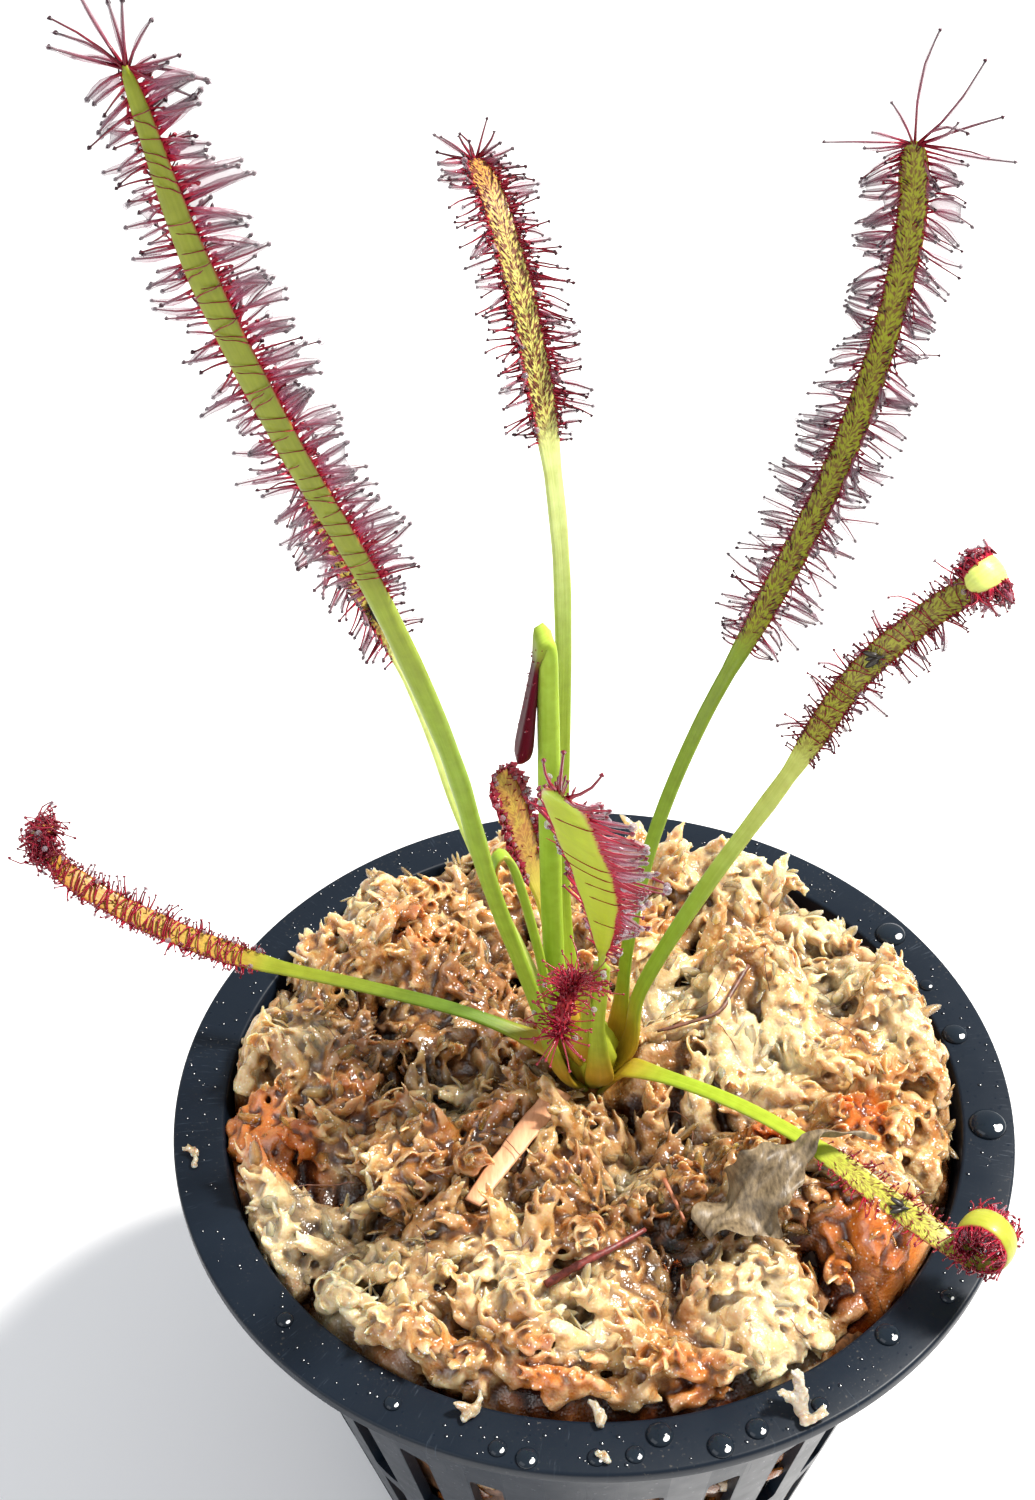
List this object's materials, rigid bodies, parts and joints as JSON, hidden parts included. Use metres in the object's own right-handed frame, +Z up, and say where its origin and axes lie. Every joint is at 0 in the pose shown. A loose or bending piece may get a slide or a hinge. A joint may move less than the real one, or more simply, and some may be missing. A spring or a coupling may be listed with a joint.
{
  "type": "potted carnivorous plant",
  "caption": "Rosette of long strap leaves edged with sticky red tentacles, growing from damp moss in a round slotted net pot.",
  "frame": {"origin": "middle of the pot's underside, where it stands", "axes": "+Z up the pot's axis; -Y is the front, towards the viewer of the picture; +X to that viewer's right"},
  "size_m": [0.1105, 0.1061, 0.198],
  "materials": {
    "pot_plastic": "satin, faint radial scratches",
    "moss_damp": "wet, cream to rust with dark recesses",
    "crown_stock": "waxy",
    "leaf_green": "waxy, crimson glands in clear drops",
    "leaf_olive": "waxy, crimson glands in clear drops",
    "leaf_yellow": "waxy, crimson glands in clear drops",
    "leaf_orange": "waxy, crimson glands in clear drops",
    "dead_stalk_peach": "matte",
    "dried_leaf_grey": "matte, creased",
    "fibre_brown": "damp",
    "needle_rust": "matte"
  },
  "bodies": {
    "root": {"net_pot": "pot_plastic", "moss_bed": "moss_damp", "crown": "crown_stock", "leaf_low_left": "leaf_orange", "leaf_low_right": "leaf_green", "leaf_tall_left": "leaf_green", "leaf_tall_right": "leaf_olive", "leaf_mid_right": "leaf_green", "leaf_back": "leaf_yellow", "leaf_behind_left": "leaf_yellow", "leaf_front": "leaf_green", "leaf_young_back": "leaf_orange", "leaf_unfolding": "leaf_green", "leaf_small_hook": "leaf_green", "leaf_young_front": "leaf_green", "dead_stalk": "dead_stalk_peach", "dried_leaf": "dried_leaf_grey", "root_fibre": "fibre_brown", "dried_twig": "fibre_brown", "dried_needle": "needle_rust"}
  },
  "joints": []
}
